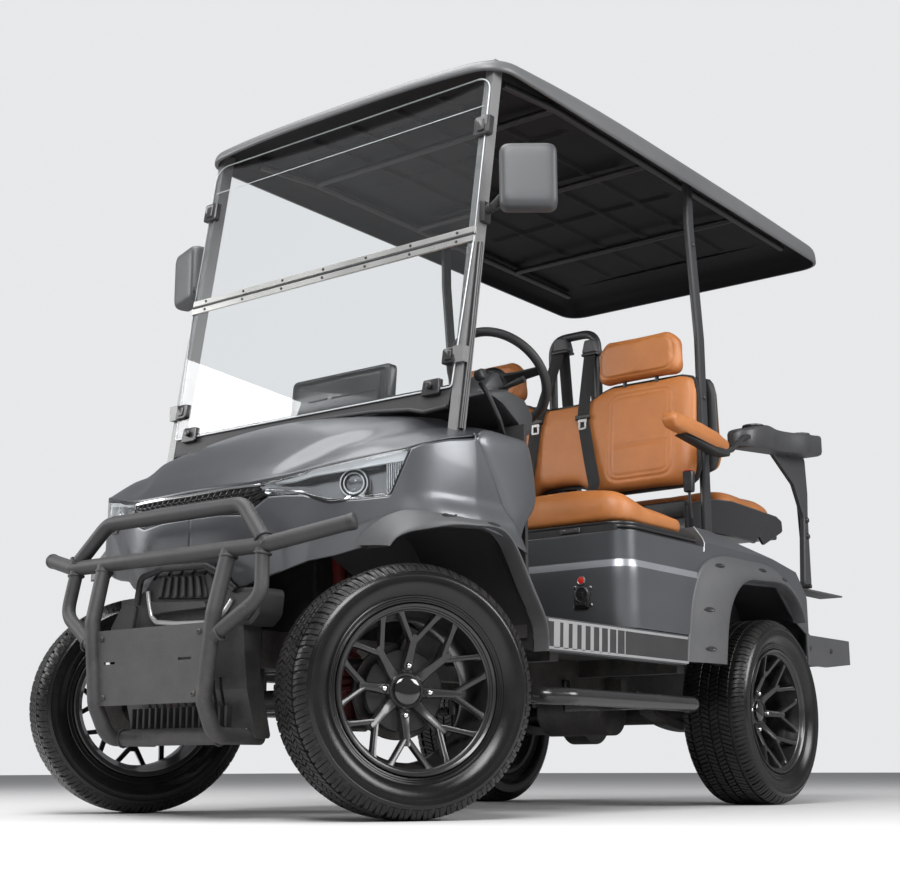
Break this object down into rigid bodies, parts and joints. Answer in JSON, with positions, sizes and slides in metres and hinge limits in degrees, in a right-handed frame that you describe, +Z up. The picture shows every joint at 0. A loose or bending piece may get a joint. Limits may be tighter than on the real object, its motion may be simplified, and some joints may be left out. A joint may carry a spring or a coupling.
{
  "type": "golf cart",
  "caption": "Electric golf cart with forward and rear-facing bench seats, roof, hinged screen, brush guard, spoked wheels, steering and lifting seat cushions.",
  "frame": {"origin": "centre of the bounding box on the ground", "axes": "front faces -Y, +X to the cart's left, +Z up"},
  "size_m": [1.4764, 3.129, 2.0879],
  "materials": {
    "body_paint": "satin gunmetal paint on moulded body panels",
    "hood_paint": "satin gunmetal paint",
    "flare_plastic": "satin grey moulded flares",
    "black_plastic": "grained black plastic",
    "dash_plastic": "soft grained dark plastic",
    "wheel_grip": "soft black grip",
    "floor_mat": "ribbed black rubber over steel",
    "tyre_rubber": "black road tyre",
    "rim_black": "gloss black painted alloy",
    "frame_steel": "black powder-coated steel",
    "suspension_steel": "black painted steel with bare machined ends",
    "spring_paint": "red coil spring on a black damper",
    "battery_case": "plain battery case",
    "guard_powder": "matte dark-grey powder coat",
    "leather": "tan synthetic leather with stitched panels",
    "arm_plastic": "satin dark-grey moulding",
    "pillar_grey": "grey coated post",
    "clear_screen": "clear scuffed acrylic",
    "mirror_shell": "dark grained mirror housing",
    "roof_shell": "moulded roof with a light satin edge",
    "lamp_housing": "silver lamp bowl",
    "lamp_lens": "clear lamp lens",
    "tail_lens": "red lamp lens"
  },
  "bodies": {
    "chassis": {"front_cowl": "body_paint", "rear_body": "body_paint", "rocker_panels": "body_paint", "hood": "hood_paint", "front_flares": "flare_plastic", "rear_flares": "flare_plastic", "front_valance": "black_plastic", "rear_seat_base": "black_plastic", "steering_column": "black_plastic", "grille": "black_plastic", "pedals": "black_plastic", "dashboard": "dash_plastic", "floor_pan": "floor_mat", "frame_rails": "frame_steel", "frame_cross_members": "frame_steel", "side_steps": "frame_steel", "rear_uprights": "frame_steel", "front_suspension_arms": "suspension_steel", "rear_axle": "suspension_steel", "rear_springs": "suspension_steel", "front_dampers": "spring_paint", "battery_pack": "battery_case", "brush_guard": "guard_powder", "guard_plate": "guard_powder", "front_backrest": "leather", "headrests": "leather", "rear_backrest": "leather", "front_armrests": "leather", "rear_armrests": "arm_plastic", "rear_step": "arm_plastic", "windscreen_pillars": "pillar_grey", "windscreen_lower": "clear_screen", "windscreen_upper": "clear_screen", "mirrors": "mirror_shell", "roof": "roof_shell", "headlamps": "lamp_housing", "headlamp_lenses": "lamp_lens", "tail_lamps": "tail_lens"},
    "knuckle_left": {"knuckle_left": "suspension_steel"},
    "knuckle_right": {"knuckle_right": "suspension_steel"},
    "wheel_front_left": {"tyre_front_left": "tyre_rubber", "rim_front_left": "rim_black"},
    "wheel_front_right": {"tyre_front_right": "tyre_rubber", "rim_front_right": "rim_black"},
    "wheel_rear_left": {"tyre_rear_left": "tyre_rubber", "rim_rear_left": "rim_black"},
    "wheel_rear_right": {"tyre_rear_right": "tyre_rubber", "rim_rear_right": "rim_black"},
    "tie_rods": {"tie_rods": "suspension_steel"},
    "steering_wheel": {"steering_wheel": "wheel_grip"},
    "front_seat_lid": {"front_cushion": "leather", "front_seat_tray": "black_plastic"},
    "rear_seat_flip": {"rear_cushion": "leather"}
  },
  "joints": [
    {"name": "steer_left", "type": "hinge", "parent": "chassis", "child": "knuckle_left", "pos_m": [0.43, -1.1705, 0.292], "axis": [0, 0, 1], "range_deg": [-4, 64]},
    {"name": "steer_right", "type": "hinge", "parent": "chassis", "child": "knuckle_right", "pos_m": [-0.43, -1.1705, 0.292], "axis": [0, 0, 1], "range_deg": [-5, 65]},
    {"name": "tie_rod_slide", "type": "slide", "parent": "chassis", "child": "tie_rods", "axis": [1, 0, 0], "range_m": [-0.12, 0.01]},
    {"name": "steering_wheel_turn", "type": "hinge", "parent": "chassis", "child": "steering_wheel", "pos_m": [0.29, -0.5105, 1.231], "axis": [0, 0.7431, 0.6691], "range_deg": [-50, 780]},
    {"name": "spin_front_left", "type": "hinge", "parent": "knuckle_left", "child": "wheel_front_left", "pos_m": [0.51487, -1.2195, 0.292], "axis": [0.866, -0.5, 0], "continuous": true},
    {"name": "spin_front_right", "type": "hinge", "parent": "knuckle_right", "child": "wheel_front_right", "pos_m": [-0.51487, -1.1215, 0.292], "axis": [0.866, -0.5, 0], "continuous": true},
    {"name": "spin_rear_left", "type": "hinge", "parent": "chassis", "child": "wheel_rear_left", "pos_m": [0.536, 0.5395, 0.292], "axis": [1, 0, 0], "continuous": true},
    {"name": "spin_rear_right", "type": "hinge", "parent": "chassis", "child": "wheel_rear_right", "pos_m": [-0.536, 0.5395, 0.292], "axis": [1, 0, 0], "continuous": true},
    {"name": "front_seat_hinge", "type": "hinge", "parent": "chassis", "child": "front_seat_lid", "pos_m": [0, -0.3045, 0.777], "axis": [1, 0, 0], "range_deg": [0, 60]},
    {"name": "rear_seat_hinge", "type": "hinge", "parent": "chassis", "child": "rear_seat_flip", "pos_m": [0, 0.9745, 0.96], "axis": [-1, 0, 0], "range_deg": [0, 178]}
  ],
  "couplings": [
    {"joint": "steer_right", "follows": "steer_left", "ratio": 1},
    {"joint": "tie_rod_slide", "follows": "steer_left", "m_per_rad": -0.10365},
    {"joint": "steering_wheel_turn", "follows": "steer_left", "ratio": 12}
  ]
}
